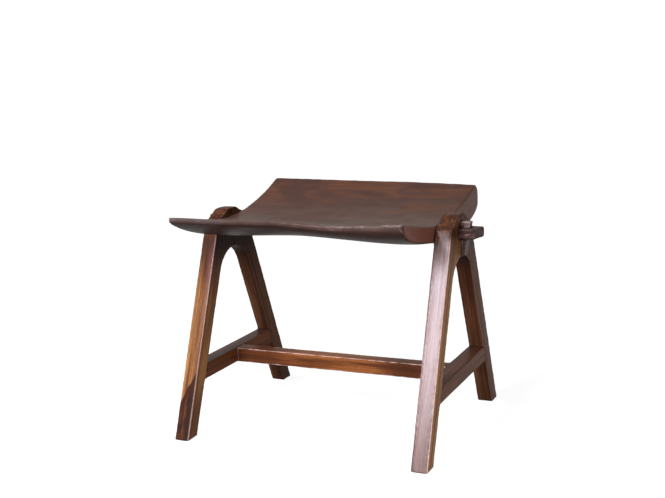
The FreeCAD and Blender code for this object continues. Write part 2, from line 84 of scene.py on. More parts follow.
# How the legs differ. Front and inside are the lacquer of those sides, depth the share of dark
# streaks, gold and rubbed the light fibres and worn arrises, and rubbed also the painted highlight
# down the right arris. Head is how light the upper leg stays under the painted shadow of the seat,
# and shade how dark that painted shadow makes the upper sides. The light fibres end light_top above the
# floor.
LEG_FINISH = {
    "front_left_leg": {
        "front": 0.07, "inside": 0, "depth": 0.35, "gold": 0.85, "rubbed": 0.22,
        "head": 0.05, "shade": 0.7, "light_top": 0.78 * LEG_TOP,
    },
    # The rear legs carry fewer light fibres and more dark streaks than the front ones: partly their own
    # colour, partly painted shade.
    "rear_left_leg": {
        "front": 0.03, "inside": 0, "depth": 0.45, "gold": 0.2, "rubbed": 0.05,
        "head": 0.3, "shade": 0.7, "light_top": 0.76 * LEG_TOP,
    },
    "front_right_leg": {
        "front": 1, "inside": 0.9, "depth": 0.35, "gold": 1.0, "rubbed": 0.4,
        "head": 0.55, "shade": 0.0, "light_top": 0.91 * LEG_TOP,
    },
    "rear_right_leg": {
        "front": 0.03, "inside": 0, "depth": 0.35, "gold": 0.18, "rubbed": 0.1,
        "head": 0.3, "shade": 0.2, "light_top": 0.65 * LEG_TOP,
    },
}


# Sizes and colours that a user may change

def length(name, description, default, low=0):
    """A length in metres that a user may change."""
    return FloatProperty(name=name, description=description, default=default, min=low, unit="LENGTH")


def power_property(name, description, default):
    """A lamp's power in watts that a user may change."""
    return FloatProperty(name=name, description=description, default=default, min=0, unit="POWER")


def angle_property(name, description, default):
    """An angle in radians that a user may change."""
    return FloatProperty(name=name, description=description, default=default, subtype="ANGLE")


def colour(name, description, default):
    """A colour that a user may change, in linear light."""
    return FloatVectorProperty(
        name=name, description=description, default=default, subtype="COLOR", size=3, min=0, max=1
    )


class StoolShapes(PropertyGroup):
    """How finely the pieces are meshed and how far use has worn them."""

    seat_cell: length("Seat cell", "Cell size of the seat's fine mesh", 0.0027, 0.002)
    frame_cell: length("Frame cell", "Cell size of the legs and rails", 0.0016, 0.001)
    key_cell: length("Key cell", "Cell size of the keys' fine mesh", 0.0009, 0.0005)
    easing_passes: IntProperty(
        name="Easing passes", description="Passes that round the arrises", default=2, min=0, max=12
    )
    shoulder_drop: length("Shoulder drop", "From a leg's top to its shoulder", 0.024)
    tool_mark_depth: length("Tool mark depth", "Depth of the tools' hollows", 0.0007)
    tool_mark_stretch: FloatProperty(
        name="Tool mark stretch", description="Length of a tool mark over its width", default=7, min=1
    )
    chip_depth: length("Chip depth", "Depth of the nicks along the bare arrises", 0.0022)
    arris_reach: length("Arris reach", "How far from an arris the stain is thin", 0.005, 0.001)
    crown_reach: length("Crown reach", "How far from an arris a face falls away", 0.016, 0.001)
    crown_fall: length("Crown fall", "How far a face has fallen at its arris", 0.0005)
    seam_reach: length("Seam reach", "How far from a joint the dirt lies", 0.004, 0.001)


class StoolColours(PropertyGroup):
    """The colours of the stained wood, where it is deep, middling, light and worn, and the colours that
    paint sheen, highlights and shade on it.
    """

    seat_deep: colour("Seat deep", "Dark streaks of the seat", (0.050, 0.022, 0.016))
    seat_middle: colour("Seat middle", "Main colour of the seat", (0.076, 0.050, 0.037))
    # The next colour paints a cool sheen on the front of the seat's left wing.
    seat_painted_sheen: colour("Seat painted sheen", "Painted cool sheen on the left wing", (0.070, 0.060, 0.062))
    seat_rim: colour("Seat rim", "Thick stain on the rims", (0.038, 0.023, 0.019))
    seat_ember: colour("Seat ember", "Reddish streaks of the seat", (0.120, 0.044, 0.020))
    seat_end: colour("Seat end", "End grain of the seat", (0.165, 0.085, 0.066))
    seat_flank: colour("Seat flank", "End grain near the lip", (0.160, 0.052, 0.035))
    leg_deep: colour("Leg deep", "Dark streaks of the legs", (0.036, 0.012, 0.007))
    leg_middle: colour("Leg middle", "Main colour of the legs", (0.088, 0.032, 0.016))
    leg_gold: colour("Leg gold", "Golden streaks of the legs", (0.350, 0.160, 0.055))
    # The next colour paints a rosy highlight on a leg's outer face.
    leg_rose_highlight: colour("Leg rose highlight", "Rosy bands of the legs", (0.150, 0.066, 0.060))
    # The next colour paints a sheen on a polished leg's front face.
    leg_painted_sheen: colour("Leg painted sheen", "Painted sheen on a polished leg", (0.300, 0.205, 0.200))
    rail_deep: colour("Rail deep", "Dark streaks of the rails", (0.050, 0.016, 0.007))
    rail_middle: colour("Rail middle", "Main colour of the rails", (0.102, 0.030, 0.010))
    rail_gold: colour("Rail gold", "Orange streaks of the rails", (0.235, 0.080, 0.022))
    key_deep: colour("Key deep", "Dark streaks of the keys", (0.030, 0.015, 0.013))
    key_middle: colour("Key middle", "Main colour of the keys", (0.095, 0.056, 0.052))
    dowel_end: colour("Dowel", "Bare wood of the dowels", (0.260, 0.150, 0.080))
    # The worn colour also paints highlights: on the legs' right arrises and the right part of the seat's
    # lip.
    worn: colour("Worn", "Wood with the stain rubbed off", (0.480, 0.330, 0.290))
    # The dark colour of joint dirt also paints shade: under the pieces and on the legs' upper sides.
    grime_and_shade: colour("Grime", "Dirt and thick stain in the joints", (0.012, 0.007, 0.006))


class StoolStage(PropertyGroup):
    """Where the camera stands and how the lamps and the floor are set."""

    camera_place: FloatVectorProperty(
        name="Camera place", description="Where the camera stands", subtype="TRANSLATION",
        default=(0.91305, -1.96669, 0.77756), unit="LENGTH",
    )
    camera_turn: angle_property("Camera turn", "Turn of the camera to the left", 0.437753)
    camera_tilt: angle_property("Camera tilt", "How far the camera looks down", 0.182999)
    camera_roll: angle_property("Camera roll", "Turn about its line of sight", -0.041485)
    camera_lens: FloatProperty(
        name="Camera lens", description="Focal length on a sensor 36 mm wide", default=56.17
    )
    key_power: power_property("Key lamp", "Power of the soft lamp in front and to the left", 58)
    window_power: power_property("Window lamp", "Power of the low, narrow lamp in front", 84)
    fill_power: power_property("Fill lamp", "Power of the soft lamp on the right", 30)
    side_power: power_property("Side lamp", "Power of the soft, cool lamp on the left", 20)
    sky_level: FloatProperty(
        name="Sky level", description="Strength of the light from all round", default=0.12, min=0
    )
    floor_colour: colour("Floor", "Colour of the plain floor", (0.35, 0.35, 0.35))


# Selecting, copying and finishing meshes

def make_active(piece):
    """Only this piece is selected, and operators act on it."""
    for thing in bpy.context.selected_objects:
        thing.select_set(False)
    piece.select_set(True)
    bpy.context.view_layer.objects.active = piece


def apply_modifier(piece, kind, **settings):
    """Adds a modifier with these settings and applies it at once."""
    modifier = piece.modifiers.new(kind.title(), kind)
    for setting, value in settings.items():
        setattr(modifier, setting, value)
    make_active(piece)
    bpy.ops.object.modifier_apply(modifier=modifier.name)


def merged_copy(node, name):
    """A copy of a CAD node whose loose triangles share their corners."""
    piece = bpy.data.objects.new(name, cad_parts[node].data.copy())
    bpy.context.scene.collection.objects.link(piece)
    piece.data.name = name
    make_active(piece)
    bpy.ops.object.mode_set(mode="EDIT")
    bpy.ops.mesh.select_all(action="SELECT")
    bpy.ops.mesh.remove_doubles(threshold=0.001 * MILLIMETRE)
    bpy.ops.object.mode_set(mode="OBJECT")
    return piece


def finely_meshed(node, name, cell, passes):
    """A copy of a CAD node in small even cells, with its arrises eased."""
    piece = merged_copy(node, name)
    apply_modifier(piece, "REMESH", mode="VOXEL", voxel_size=cell, adaptivity=0)
    apply_modifier(piece, "SMOOTH", factor=0.5, iterations=passes)
    return piece


def add_vertex_group(piece, name, weights):
    """A vertex group with one weight for each point, in their order."""
    group = piece.vertex_groups.new(name=name)
    for index, weight in enumerate(weights):
        if weight > 0:
            group.add([index], min(1, weight), "REPLACE")


def other_surfaces(node):
    """The surfaces of every other CAD node, to find where this one meets them."""
    corners = []
    faces = []
    for name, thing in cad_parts.items():
        if name == node:
            continue
        first = len(corners)
        corners.extend(v.co.copy() for v in thing.data.vertices)
        faces.extend([first + i for i in face.vertices] for face in thing.data.polygons)
    return BVHTree.FromPolygons(corners, faces)


def bare_arris_points(node, others):
    """Points along the node's sharp or eased arrises, apart from those that lie in a joint."""
    sharp = math.radians(28)
    eased = math.radians(8)
    easing = 1.6 * MILLIMETRE
    spacing = 1.5 * MILLIMETRE
    in_joint = 1.2 * MILLIMETRE
    mesh = bmesh.new()
    mesh.from_mesh(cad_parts[node].data)
    bmesh.ops.remove_doubles(mesh, verts=mesh.verts, dist=0.001 * MILLIMETRE)
    points = []
    for edge in mesh.edges:
        if len(edge.link_faces) != 2 or edge.calc_length() < 0.01 * MILLIMETRE:
            continue
        angle = edge.calc_face_angle(0)
        width = min(2 * face.calc_area() / edge.calc_length() for face in edge.link_faces)
        if angle < sharp and (angle < eased or width > easing):
            continue
        start, end = (v.co for v in edge.verts)
        steps = max(1, math.ceil(edge.calc_length() / spacing))
        for i in range(steps + 1):
            point = start.lerp(end, i / steps)
            if others.find_nearest(point)[3] > in_joint:
                points.append(point)
    mesh.free()
    return points


def polish_of(place, normal, polish):
    """How much lacquer a point carries, from where it is and the way that its face looks."""
    sideways = polish["outside"] if normal.x * place.x > 0 else polish["inside"]
    along = polish["front"] if normal.y < 0 else polish["back"]
    if "lip" in polish and place.y < LIP_FACE:
        along = polish["lip"]
    drained = max(0, min(1, 1 + 4 * normal.z))
    level = sideways * normal.x ** 2 + along * normal.y ** 2
    return drained * level + max(0, normal.z) ** 2 * polish["top"]


def mark_use(piece, node, polish):
    """Writes on each point how near an arris and a joint are, its lacquer and the way it faces."""
    shapes = bpy.context.scene.stool_shapes
    others = other_surfaces(node)
    points = bare_arris_points(node, others)
    tree = KDTree(len(points))
    for index, point in enumerate(points):
        tree.insert(point, index)
    tree.balance()
    kinds = ("arris", "crown", "seam", "polish", "side", "under", "upward")
    marks = {name: [] for name in kinds}
    free = []
    for vertex in piece.data.vertices:
        distance = tree.find(vertex.co)[2] if points else shapes.crown_reach
        marks["arris"].append(max(0, 1 - distance / shapes.arris_reach))
        marks["crown"].append(max(0, 1 - distance / shapes.crown_reach) ** 2)
        hit = others.find_nearest(vertex.co, shapes.seam_reach)[3]
        marks["seam"].append(0 if hit is None else 1 - hit / shapes.seam_reach)
        free.append(max(0, 1 - 1.3 * marks["seam"][-1]))
        marks["polish"].append(polish_of(vertex.co, vertex.normal, polish))
        marks["side"].append(vertex.normal.x ** 2)
        marks["under"].append(max(0, -vertex.normal.z))
        marks["upward"].append(max(0, vertex.normal.z))
    for name, values in marks.items():
        attribute = piece.data.attributes.new(name, "FLOAT", "POINT")
        attribute.data.foreach_set("value", values)
    add_vertex_group(piece, "arris", marks["arris"])
    add_vertex_group(piece, "crown", [a * b for a, b in zip(marks["crown"], free)])
    add_vertex_group(piece, "free", free)


def cloud_texture(name, size, contrast=1.0, brightness=1.0):
    """A plain cloud pattern for shaping a surface, with spots of about this size."""
    texture = bpy.data.textures.new(name, "CLOUDS")
    texture.noise_scale = size
    texture.noise_depth = 2
    texture.contrast = contrast
    texture.intensity = brightness
    return texture


def round_shoulder(piece, node):
    """Rounds the shoulder where the leg's outer face turns over to its sloping head."""
    low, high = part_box(node)
    shapes = bpy.context.scene.stool_shapes
    line = high.z - shapes.shoulder_drop
    reach = 16 * MILLIMETRE
    half_apex = 30 * MILLIMETRE
    near_joint = 8 * MILLIMETRE
    on_head = 0.35

    def near_shoulder(place):
        if abs(place.y) < near_joint:
            return 0
        weight = on_head if place.z > line else 0
        if abs(place.y) < half_apex:
            return weight
        return max(1 - abs(place.z - line) / reach, weight)

    add_vertex_group(piece, "shoulder", [near_shoulder(v.co) for v in piece.data.vertices])
    apply_modifier(piece, "SMOOTH", factor=0.5, iterations=14, vertex_group="shoulder")


def fibre_direction(node):
    """The way that a node's fibres run: along the seat, a rail, a key or a dowel, and up a leg."""
    if node in LEGS:
        low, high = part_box(node)
        way = -1 if abs(low.y) > abs(high.y) else 1
        faces = [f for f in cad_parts[node].data.polygons if way * f.normal.y > 0.8]
        outer = max(faces, key=lambda face: face.area).normal
        return Vector((0, -way * outer.z, way * outer.y))
    if node in CROSS_RAILS or "dowel" in node:
        return Vector((0, 1, 0))
    if node in KEYS:
        return Vector((0, 0, 1))
    return Vector((1, 0, 0))


def wear_surface(piece, node, hollow_size, chips):
    """Crowns the faces, cuts shallow tool marks along the fibres and nicks the bare arrises."""
    shapes = bpy.context.scene.stool_shapes
    fall = -shapes.crown_fall
    apply_modifier(piece, "DISPLACE", mid_level=0, strength=fall, vertex_group="crown")
    bpy.ops.object.empty_add()
    along = bpy.context.active_object
    along.rotation_euler = fibre_direction(node).to_track_quat("Z", "Y").to_euler()
    along.scale = (1, 1, shapes.tool_mark_stretch)
    bpy.context.view_layer.update()
    apply_modifier(
        piece,
        "DISPLACE",
        texture=cloud_texture("tool marks", hollow_size),
        texture_coords="OBJECT",
        texture_coords_object=along,
        mid_level=0,
        strength=-shapes.tool_mark_depth,
        vertex_group="free",
    )
    bpy.data.objects.remove(along)
    apply_modifier(
        piece,
        "DISPLACE",
        texture=cloud_texture("chips", 9 * MILLIMETRE, contrast=5, brightness=0.72),
        texture_coords="LOCAL",
        mid_level=0,
        strength=-shapes.chip_depth * chips,
        vertex_group="arris",
    )


def finish_piece(piece, node, body, material):
    """Shades, paints and hangs a finished piece in its node's place."""
    make_active(piece)
    bpy.ops.object.shade_smooth()
    piece.data.materials.clear()
    piece.data.materials.append(material)
    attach(piece, body)
    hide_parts(node)


def make_worn_piece(node, body, material, polish, cell, hollow_size, chips):
    """Lays a finely meshed, worn and painted copy over a CAD node."""
    passes = bpy.context.scene.stool_shapes.easing_passes
    piece = finely_meshed(node, "worn_" + node, cell, passes)
    if node in LEGS:
        round_shoulder(piece, node)
    mark_use(piece, node, polish)
    wear_surface(piece, node, hollow_size, chips)
    finish_piece(piece, node, body, material)


# Noise patterns: cells in a metre, twice across the fibres and once along them

GRAIN_STREAKS = (95, 95, 3.2)
GRAIN_LINES = (310, 310, 6)
GRAIN_PORES = (1500, 1500, 90)
GRAIN_CLOUDS = (30, 30, 4.5)
SEAT_BLOTS = (30, 30, 20)
SEAT_BANDS = (16, 16, 6)
SEAT_RINGS = (190, 190, 12)
LIP_PATCHES = (25, 25, 14)
TENON_STREAKS = (90, 90, 18)
PALE_STREAKS = (210, 210, 60)
LEG_BANDS = (110, 110, 2.6)
HEAD_PATCHES = (95, 95, 50)
HEAD_EDGE = (95, 95, 20)
MAUVE_EDGE = (90, 90, 3)
HEARTWOOD_EDGE = (70, 70, 9)
HEARTWOOD_BLOTS = (70, 70, 25)
RAIL_BANDS = (60, 60, 4)


# Shader groups that the materials share

def new_group(name, inputs, outputs):
    """An empty shader group with these named sockets."""
    tree = bpy.data.node_groups.new(name, "ShaderNodeTree")
    for label, kind, default in inputs:
        socket = tree.interface.new_socket(label, in_out="INPUT", socket_type=kind)
        if default is not None:
            socket.default_value = default
    for label, kind in outputs:
        tree.interface.new_socket(label, in_out="OUTPUT", socket_type=kind)
    entrance = tree.nodes.new("NodeGroupInput")
    way_out = tree.nodes.new("NodeGroupOutput")
    return tree, entrance, way_out


def add_node(tree, kind, **settings):
    """Adds a node and sets its own settings."""
    node = tree.nodes.new(kind)
    for setting, value in settings.items():
        setattr(node, setting, value)
    return node


def feed(tree, socket, value):
    """Links a socket to another one, or sets it to a plain value."""
    if isinstance(value, bpy.types.NodeSocket):
        tree.links.new(value, socket)
    else:
        socket.default_value = value


def noise(tree, vector, scale, detail=2.0, roughness=0.5, distortion=0.0):
    """A noise value over coordinates that are stretched by scale first."""
    stretch = add_node(tree, "ShaderNodeVectorMath", operation="MULTIPLY")
    feed(tree, stretch.inputs[0], vector)
    stretch.inputs[1].default_value = scale
    node = add_node(tree, "ShaderNodeTexNoise")
    feed(tree, node.inputs["Vector"], stretch.outputs[0])
    settings = {"Scale": 1, "Detail": detail, "Roughness": roughness, "Distortion": distortion}
    for setting, value in settings.items():
        node.inputs[setting].default_value = value
    return node.outputs["Fac"]


def ramp(tree, value, low, high, to_low=0.0, to_high=1.0):
    """A value carried smoothly from one range to another."""
    node = add_node(tree, "ShaderNodeMapRange", interpolation_type="SMOOTHSTEP")
    feed(tree, node.inputs["Value"], value)
    feed(tree, node.inputs["From Min"], low)
    feed(tree, node.inputs["From Max"], high)
    node.inputs["To Min"].default_value = to_low
    node.inputs["To Max"].default_value = to_high
    return node.outputs["Result"]


def sum_up(tree, operation, first, second):
    """One arithmetic step on two values."""
    node = add_node(tree, "ShaderNodeMath", operation=operation)
    feed(tree, node.inputs[0], first)
    feed(tree, node.inputs[1], second)
    return node.outputs[0]


def mix_colour(tree, share, first, second, blend="MIX"):
    """Two colours mixed by a share."""
    node = add_node(tree, "ShaderNodeMix", data_type="RGBA", blend_type=blend)
    feed(tree, node.inputs["Factor"], share)
    colours = [s for s in node.inputs if s.type == "RGBA"]
    for socket, value in zip(colours, (first, second)):
        if not isinstance(value, bpy.types.NodeSocket):
            value = (*value, 1)
        feed(tree, socket, value)
    return next(s for s in node.outputs if s.type == "RGBA")


def grain_group():
    """Wood figure whose fibres run along Z: wide streaks, thin lines, pores and clouds."""
    found = bpy.data.node_groups.get("wood grain")
    if found:
        return found
    outputs = [(label, "NodeSocketFloat") for label in ("Streaks", "Lines", "Pores", "Clouds")]
    tree, entrance, way_out = new_group(
        "wood grain", [("Vector", "NodeSocketVector", None)], outputs
    )
    place = entrance.outputs["Vector"]
    streaks = noise(tree, place, GRAIN_STREAKS, detail=3, roughness=0.6, distortion=0.5)
    lines = noise(tree, place, GRAIN_LINES, detail=3, roughness=0.65, distortion=0.2)
    pores = noise(tree, place, GRAIN_PORES, detail=1)
    clouds = noise(tree, place, GRAIN_CLOUDS, detail=3, distortion=0.3)
    feed(tree, way_out.inputs["Streaks"], ramp(tree, streaks, 0.32, 0.68))
    feed(tree, way_out.inputs["Lines"], ramp(tree, lines, 0.33, 0.67))
    feed(tree, way_out.inputs["Pores"], ramp(tree, pores, 0.58, 0.7))
    feed(tree, way_out.inputs["Clouds"], ramp(tree, clouds, 0.3, 0.7))
    return tree


def use_group():
    """Where handling has rubbed the arrises and where dirt has gathered in the joints."""
    found = bpy.data.node_groups.get("signs of use")
    if found:
        return found
    inputs = [("Vector", "NodeSocketVector", None), ("Amount", "NodeSocketFloat", 0.5)]
    outputs = [("Worn", "NodeSocketFloat"), ("Grime", "NodeSocketFloat")]
    tree, entrance, way_out = new_group("signs of use", inputs, outputs)
    place = entrance.outputs["Vector"]
    arris = add_node(tree, "ShaderNodeAttribute", attribute_name="arris").outputs["Fac"]
    seam = add_node(tree, "ShaderNodeAttribute", attribute_name="seam").outputs["Fac"]
    patches = noise(tree, place, (45, 45, 45), detail=4, roughness=0.65)
    allowed = ramp(tree, patches, 0.3, 0.7)
    reach = sum_up(tree, "ADD", arris, sum_up(tree, "MULTIPLY", allowed, 0.35))
    limit = sum_up(tree, "SUBTRACT", 1.2, entrance.outputs["Amount"])
    above = sum_up(tree, "ADD", limit, 0.5)
    feed(tree, way_out.inputs["Worn"], ramp(tree, reach, limit, above))
    smudge = noise(tree, place, (70, 70, 70), detail=3)
    dirt = sum_up(tree, "MULTIPLY", seam, ramp(tree, smudge, 0.25, 0.6, 0.35, 1.0))
    feed(tree, way_out.inputs["Grime"], ramp(tree, dirt, 0.25, 0.95))
    return tree


# Materials

class Wood:
    """A wood material in the making, with the values that its colours are mixed from."""

    def __init__(self, node, shift=(0, 0, 0), rubbed=0.5):
        self.colours = bpy.context.scene.stool_colours
        self.material = bpy.data.materials.new(node.replace("_", " ") + " wood")
        self.material.use_nodes = True
        self.tree = self.material.node_tree
        self.tree.nodes.clear()
        coordinates = self.tree.nodes.new("ShaderNodeTexCoord")
        self.place = coordinates.outputs["Object"]
        mapping = add_node(self.tree, "ShaderNodeMapping", vector_type="POINT")
        self.tree.links.new(self.place, mapping.inputs["Vector"])
        turn = fibre_direction(node).to_track_quat("Z", "Y").inverted().to_euler()
        mapping.inputs["Rotation"].default_value = turn
        mapping.inputs["Location"].default_value = shift
        self.along = mapping.outputs[0]
        grain = add_node(self.tree, "ShaderNodeGroup", node_tree=grain_group())
        self.tree.links.new(self.along, grain.inputs["Vector"])
        self.grain = grain.outputs
        use = add_node(self.tree, "ShaderNodeGroup", node_tree=use_group())
        self.tree.links.new(self.place, use.inputs["Vector"])
        use.inputs["Amount"].default_value = rubbed
        self.use = use.outputs
        axes = add_node(self.tree, "ShaderNodeSeparateXYZ")
        self.tree.links.new(self.place, axes.inputs[0])
        self.x, self.y, self.z = axes.outputs

    def mark(self, name):
        """One of the values that were written on the piece's points."""
        return add_node(self.tree, "ShaderNodeAttribute", attribute_name=name).outputs["Fac"]

    def times(self, first, *others):
        """Values multiplied."""
        for other in others:
            first = sum_up(self.tree, "MULTIPLY", first, other)
        return first

    def plus(self, first, second):
        """Two values added."""
        return sum_up(self.tree, "ADD", first, second)

    def ramp(self, value, low, high, to_low=0.0, to_high=1.0):
        """A value carried smoothly from one range to another."""
        return ramp(self.tree, value, low, high, to_low, to_high)

    def beyond(self, along, place, start, end, to_low=0.0, to_high=1.0):
        """A ramp along an axis between two distances beyond a place, in millimetres."""
        start = place + start * MILLIMETRE
        return self.ramp(along, start, place + end * MILLIMETRE, to_low, to_high)

    def up_leg(self, start, end, to_low=0.0, to_high=1.0):
        """A ramp between two heights, as shares of the legs' height."""
        return self.ramp(self.z, start * LEG_TOP, end * LEG_TOP, to_low, to_high)

    def sideways(self, start=0.3, end=0.6, to_low=0.0, to_high=1.0):
        """A ramp on how much a face looks to the left or right."""
        return self.ramp(self.mark("side"), start, end, to_low, to_high)

    def from_middle(self):
        """How far a point lies to the left or right of the stool's middle."""
        return sum_up(self.tree, "ABSOLUTE", self.x, 0.0)

    def mix(self, share, first, second):
        """Two colours mixed by a share."""
        return mix_colour(self.tree, share, first, second)

    def noise(self, scale, detail=2.0, distortion=0.0):
        """Noise over the coordinates that run along the fibres."""
        return noise(self.tree, self.along, scale, detail=detail, distortion=distortion)

    def streaked(self, deep, middle, depth):
        """Dark streaks and finer dark lines in a middling colour."""
        share = self.ramp(self.grain["Streaks"], depth - 0.5, depth + 0.5)
        share = self.times(share, self.ramp(self.grain["Lines"], 0, 0.7, 0.55, 1))
        return self.mix(share, deep, middle)

    def gilded(self, base, light, share):
        """Lighter fibres over a base, in threads along the grain."""
        threads = self.ramp(self.grain["Lines"], 0, 1, 0.35, 1)
        return self.mix(self.times(share, threads), base, light)

    def finish(
        self, base, deep, roughness=0.42, coat_roughness=0.28, gloss=0.02, bare=1, shine=1, dirt=0.8
    ):
        """Adds painted shade on faces that look down, pores, wear and joint dirt to the colours, then the
        lacquer and the relief.
        """
        tree = self.tree
        surface = tree.nodes.new("ShaderNodeBsdfPrincipled")
        output = tree.nodes.new("ShaderNodeOutputMaterial")
        tree.links.new(surface.outputs[0], output.inputs[0])
        # Painted shade: faces that look down are darkened to the deep colour, then to the dark colour of
        # joint dirt.
        under = self.mark("under")
        base = self.mix(self.ramp(under, 0.2, 0.8, 0, 0.95), base, deep)
        base = self.mix(self.ramp(under, 0.3, 0.9, 0, 0.6), base, self.colours.grime_and_shade)
        base = self.mix(self.times(self.grain["Pores"], 0.6), base, deep)
        base = self.mix(self.times(self.use["Worn"], bare), base, self.colours.worn)
        base = self.mix(self.times(self.use["Grime"], dirt), base, self.colours.grime_and_shade)
        feed(tree, surface.inputs["Base Color"], base)
        rough = self.plus(self.times(self.grain["Lines"], 0.12), roughness - 0.06)
        rough = self.plus(rough, self.times(self.use["Grime"], 0.3))
        feed(tree, surface.inputs["Roughness"], rough)
        streaks = self.ramp(self.grain["Streaks"], 0, 1, 0.8, 1)
        clouds = self.ramp(self.grain["Clouds"], 0, 1, 0.75, 1)
        clean = self.ramp(self.use["Grime"], 0, 0.8, 1, 0)
        lacquer = self.times(self.mark("polish"), streaks, clouds, clean, shine)
        feed(tree, surface.inputs["Coat Weight"], lacquer)
        surface.inputs["Coat Roughness"].default_value = coat_roughness
        surface.inputs["Specular IOR Level"].default_value = gloss
        height = sum_up(tree, "SUBTRACT", self.times(self.grain["Lines"], 0.6), self.grain["Pores"])
        relief = add_node(tree, "ShaderNodeBump")
        relief.inputs["Strength"].default_value = 0.35
        relief.inputs["Distance"].default_value = 0.25 * MILLIMETRE
        feed(tree, relief.inputs["Height"], height)
        feed(tree, surface.inputs["Normal"], relief.outputs[0])
        return self.material


def seat_wood():
    """The seat's plank: grey-brown in front, with reddish streaks towards the back."""
    wood = Wood("seat", rubbed=0.45)
    colours = wood.colours
    base = wood.streaked(colours.seat_deep, colours.seat_middle, 0.05)
    blots = wood.ramp(wood.noise(SEAT_BLOTS, detail=4, distortion=0.4), 0.35, 0.65, 0, 0.7)
    on_left = wood.beyond(wood.x, LEFT_SHOULDER, -3, 347, 0.5, 0)
    towards_back = wood.beyond(wood.y, MIDDLE, -20, 160, 0, 0.65)
    for shade in (blots, on_left, towards_back):
        base = wood.mix(shade, base, colours.seat_deep)
    bands = wood.ramp(wood.noise(SEAT_BANDS, detail=4, distortion=1.2), 0.42, 0.66)
    glowing = wood.times(bands, wood.beyond(wood.y, MIDDLE, -50, 170, 0.05, 0.75))
    base = wood.gilded(base, colours.seat_ember, glowing)
    back_rim = wood.beyond(wood.y, BACK, -17.5, -3.5, 0, 0.75)
    base = wood.mix(back_rim, base, colours.seat_deep)
    base = wood.mix(wood.sideways(0.35, 0.7), base, seat_end_grain(wood))
    # Painted highlight: the right part of the lip paler, in the worn colour.
    lip = wood.beyond(wood.y, FRONT, 4, 0)
    right_lip_highlight = wood.times(lip, wood.beyond(wood.x, MIDDLE, 80, 200, 0, 0.15))
    base = wood.mix(right_lip_highlight, base, colours.worn)
    # Painted sheen: the front of the left wing greyed to a cool colour.
    wing = wood.beyond(wood.x, LEFT_SHOULDER, 147, 57, 0, 0.7)
    sheen_on_wing = wood.times(wing, wood.beyond(wood.y, FRONT, 37, 12))
    base = wood.mix(sheen_on_wing, base, colours.seat_painted_sheen)
    base = dark_tenon(wood, dark_rims(wood, base))
    # Rubbed arrises stronger towards the right end: partly real wear, partly painted highlight on the
    # lip.
    short_of_tenon = wood.beyond(wood.x, FRAME_OUTER, -31, -16, 1, 0.2)
    bare = wood.times(wood.beyond(wood.x, MIDDLE, 0, 200, 0.04, 0.3), short_of_tenon)
    return wood.finish(base, colours.seat_deep, bare=bare, shine=seat_shine(wood))


def seat_end_grain(wood):
    """The end grain of the seat, redder near the lip, with darker rings."""
    colours = wood.colours
    behind_lip = wood.beyond(wood.y, MIDDLE, -150, 50)
    end = wood.mix(behind_lip, colours.seat_flank, colours.seat_end)
    rings = wood.ramp(wood.noise(SEAT_RINGS, detail=3), 0.35, 0.65)
    return wood.mix(wood.ramp(rings, 0, 1, 0.3, 0), end, colours.seat_deep)


def seat_shine(wood):
    """Lacquer rubbed dull at the back and on the left, but not at the left end and its lip."""
    shine = wood.beyond(wood.x, MIDDLE, -100, 120, 0.45, 1)
    shine = wood.plus(shine, wood.beyond(wood.x, LEFT_SHOULDER, 12, -8, 0, 2))
    shine = wood.times(shine, wood.beyond(wood.y, MIDDLE, -50, 150, 1, 0.15))
    wing = wood.beyond(wood.x, LEFT_SHOULDER, 147, 47, 0, 0.9)
    return wood.plus(shine, wood.times(wing, wood.beyond(wood.y, FRONT, 87, 37)))


def dark_tenon(wood, base):
    """Thick stain on the seat's tenons, rubbed pale in thin streaks."""
    colours = wood.colours
    streaks = wood.ramp(wood.noise(TENON_STREAKS, detail=4), 0.4, 0.75)
    stain = wood.mix(streaks, colours.key_deep, colours.key_middle)
    stain = wood.mix(pale_streaks(wood), stain, colours.worn)
    return wood.mix(wood.beyond(wood.from_middle(), FRAME_OUTER, -19, -11), base, stain)


def pale_streaks(wood):
    """Thin streaks where the stain of a tenon or a key is rubbed."""
    return wood.ramp(wood.noise(PALE_STREAKS, detail=3), 0.58, 0.72, 0, 0.25)


def dark_rims(wood, base):
    """Thick stain along the seat's right end and in patches of its lip."""
    near_arris = wood.ramp(wood.mark("arris"), 0.3, 0.8)
    right_end = wood.beyond(wood.x, RIGHT_SHOULDER, -20.5, -5.5)
    right_end = wood.times(near_arris, right_end, wood.beyond(wood.y, FRONT, 37, 87))
    patches = wood.ramp(wood.noise(LIP_PATCHES, detail=4), 0.4, 0.6, 0.7, 1)
    right_of_tip = wood.beyond(wood.x, LEFT_SHOULDER, -3, 12, 0.2, 1)
    lip = wood.times(wood.beyond(wood.y, FRONT, 12, 5), patches, right_of_tip)
    rims = sum_up(wood.tree, "MAXIMUM", right_end, lip)
    return wood.mix(wood.times(rims, 0.85), base, wood.colours.seat_rim)


